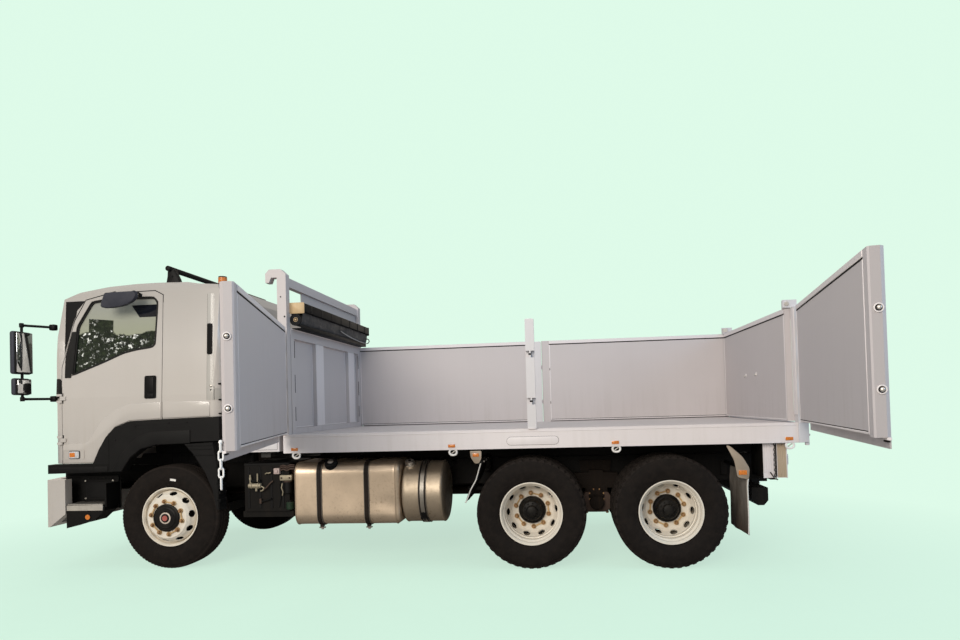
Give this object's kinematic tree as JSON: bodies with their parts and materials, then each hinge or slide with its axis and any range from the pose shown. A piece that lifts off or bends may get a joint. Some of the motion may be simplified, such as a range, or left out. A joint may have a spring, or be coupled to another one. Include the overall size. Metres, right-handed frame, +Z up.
{
  "type": "tipping-tray dump truck",
  "caption": "Cab-over tipping-tray truck with twin rear axles, barn-door side gates, top-hinged tailgate, tilting cab and under-tray hoist.",
  "frame": {"origin": "on the ground at the bottom centre of the whole truck's box, with its two left gates standing open", "axes": "+X towards the rear, -Y the truck's left side, +Z up"},
  "size_m": [7.679, 5.1794, 3.195],
  "materials": {
    "body_paint": "satin white paint, road film",
    "cab_paint": "gloss warm white paint",
    "black_plastic": "grained black plastic",
    "chassis_paint": "satin black chassis paint, dusty",
    "cast_dark": "dark painted casting",
    "tyre_rubber": "matt rubber",
    "wheel_paint": "cream painted steel",
    "tank_metal": "brushed, stained",
    "clear_glass": "clear, slightly tinted",
    "seat_fabric": "woven seat cloth and grey trim",
    "tarp_cloth": "coated black sheet in a black box",
    "ram_steel": "ground steel",
    "rubber_flap": "matt rubber sheet",
    "lamp_amber": "ribbed amber lens",
    "lamp_red": "ribbed red lens",
    "lamp_clear": "clear lens",
    "zinc_steel": "zinc-plated fixings and chain"
  },
  "bodies": {
    "chassis": {"chassis_frame": "chassis_paint", "front_bumper": "cab_paint", "cab_steps": "black_plastic", "front_axle": "chassis_paint", "drive_axles": "cast_dark", "rear_suspension": "cast_dark", "engine_block": "cast_dark", "driveline": "cast_dark", "fuel_tank": "tank_metal", "oil_tank": "tank_metal", "battery_box": "black_plastic", "exhaust": "chassis_paint", "wheel_guards": "black_plastic", "mudflaps": "rubber_flap", "rear_bar": "chassis_paint", "under_guard": "chassis_paint", "lamp_boxes": "body_paint", "front_lockers": "body_paint"},
    "cab": {"cab_shell": "cab_paint", "cab_glass": "clear_glass", "cab_underbody": "black_plastic", "cab_interior": "seat_fabric", "cab_front": "black_plastic", "roof_bar": "black_plastic", "mirrors": "black_plastic"},
    "tray": {"tray_deck": "body_paint", "tray_floor": "body_paint", "tray_crossmembers": "chassis_paint", "tray_subrails": "chassis_paint", "headboard": "body_paint", "centre_posts": "body_paint", "rear_posts": "body_paint", "tarp_roll": "tarp_cloth"},
    "door_left": {"door_left": "cab_paint", "door_glass_left": "clear_glass", "kerb_mirror": "black_plastic"},
    "knuckle_left": {"knuckle_left": "cast_dark"},
    "wheel_front_left": {"tyre_front_left": "tyre_rubber", "wheel_front_left": "wheel_paint"},
    "wheel_mid_left": {"tyres_mid_left": "tyre_rubber", "wheels_mid_left": "wheel_paint"},
    "wheel_rear_left": {"tyres_rear_left": "tyre_rubber", "wheels_rear_left": "wheel_paint"},
    "gate_front_left": {"gate_front_left": "body_paint"},
    "gate_rear_left": {"gate_rear_left": "body_paint"},
    "door_right": {"door_right": "cab_paint", "door_glass_right": "clear_glass"},
    "knuckle_right": {"knuckle_right": "cast_dark"},
    "wheel_front_right": {"tyre_front_right": "tyre_rubber", "wheel_front_right": "wheel_paint"},
    "wheel_mid_right": {"tyres_mid_right": "tyre_rubber", "wheels_mid_right": "wheel_paint"},
    "wheel_rear_right": {"tyres_rear_right": "tyre_rubber", "wheels_rear_right": "wheel_paint"},
    "gate_front_right": {"gate_front_right": "body_paint"},
    "gate_rear_right": {"gate_rear_right": "body_paint"},
    "tailgate": {"tailgate": "body_paint"},
    "hoist_barrel": {"hoist_barrel": "chassis_paint"},
    "hoist_rod": {"hoist_rod": "ram_steel"}
  },
  "joints": [
    {"name": "steer_left", "type": "hinge", "parent": "chassis", "child": "knuckle_left", "pos_m": [-2.3995, 0.1697, 0.525], "axis": [0, 0, 1], "range_deg": [-35, 35]},
    {"name": "spin_front_left", "type": "hinge", "parent": "knuckle_left", "child": "wheel_front_left", "pos_m": [-2.3995, 0.0597, 0.525], "axis": [0, 1, 0], "continuous": true},
    {"name": "spin_mid_left", "type": "hinge", "parent": "chassis", "child": "wheel_mid_left", "pos_m": [1.2695, 0.1697, 0.525], "axis": [0, 1, 0], "continuous": true},
    {"name": "spin_rear_left", "type": "hinge", "parent": "chassis", "child": "wheel_rear_left", "pos_m": [2.5695, 0.1697, 0.525], "axis": [0, 1, 0], "continuous": true},
    {"name": "steer_right", "type": "hinge", "parent": "chassis", "child": "knuckle_right", "pos_m": [-2.3995, 2.0097, 0.525], "axis": [0, 0, 1], "range_deg": [-35, 35]},
    {"name": "spin_front_right", "type": "hinge", "parent": "knuckle_right", "child": "wheel_front_right", "pos_m": [-2.3995, 2.1197, 0.525], "axis": [0, 1, 0], "continuous": true},
    {"name": "spin_mid_right", "type": "hinge", "parent": "chassis", "child": "wheel_mid_right", "pos_m": [1.2695, 2.0097, 0.525], "axis": [0, 1, 0], "continuous": true},
    {"name": "spin_rear_right", "type": "hinge", "parent": "chassis", "child": "wheel_rear_right", "pos_m": [2.5695, 2.0097, 0.525], "axis": [0, 1, 0], "continuous": true},
    {"name": "cab_tilt", "type": "hinge", "parent": "chassis", "child": "cab", "pos_m": [-3.5895, 1.0897, 0.965], "axis": [0, -1, 0], "range_deg": [0, 45]},
    {"name": "door_left_swing", "type": "hinge", "parent": "cab", "child": "door_left", "pos_m": [-3.5355, -0.1063, 1.9], "axis": [0, 0, -1], "range_deg": [0, 70]},
    {"name": "door_right_swing", "type": "hinge", "parent": "cab", "child": "door_right", "pos_m": [-3.5355, 2.2857, 1.9], "axis": [0, 0, 1], "range_deg": [0, 70]},
    {"name": "tray_tip", "type": "hinge", "parent": "chassis", "child": "tray", "pos_m": [3.5505, 1.0897, 1.06], "axis": [0, 1, 0], "range_deg": [0, 48]},
    {"name": "tailgate_swing", "type": "hinge", "parent": "tray", "child": "tailgate", "pos_m": [3.6805, 1.0897, 2.425], "axis": [0, -1, 0], "range_deg": [0, 70]},
    {"name": "gate_front_left_swing", "type": "hinge", "parent": "tray", "child": "gate_front_left", "pos_m": [-1.1945, -0.1503, 1.86], "axis": [0, 0, -1], "range_deg": [-74, 16]},
    {"name": "gate_rear_left_swing", "type": "hinge", "parent": "tray", "child": "gate_rear_left", "pos_m": [3.8215, -0.1503, 1.86], "axis": [0, 0, 1], "range_deg": [-79.6, 40.4]},
    {"name": "gate_front_right_swing", "type": "hinge", "parent": "tray", "child": "gate_front_right", "pos_m": [-1.1945, 2.3297, 1.86], "axis": [0, 0, 1], "range_deg": [0, 90]},
    {"name": "gate_rear_right_swing", "type": "hinge", "parent": "tray", "child": "gate_rear_right", "pos_m": [3.8215, 2.3297, 1.86], "axis": [0, 0, -1], "range_deg": [0, 120]},
    {"name": "hoist_swing", "type": "hinge", "parent": "chassis", "child": "hoist_barrel", "pos_m": [0.2005, 1.0897, 0.8], "axis": [0, -1, 0], "range_deg": [0, 25.25]},
    {"name": "hoist_extend", "type": "slide", "parent": "hoist_barrel", "child": "hoist_rod", "axis": [0.9834, 0, 0.1813], "range_m": [0, 1.08849]}
  ],
  "couplings": [
    {"joint": "hoist_swing", "follows": "tray_tip", "ratio": 0.52592},
    {"joint": "hoist_extend", "follows": "tray_tip", "m_per_rad": 1.2987},
    {"joint": "steer_right", "follows": "steer_left", "ratio": 1}
  ]
}
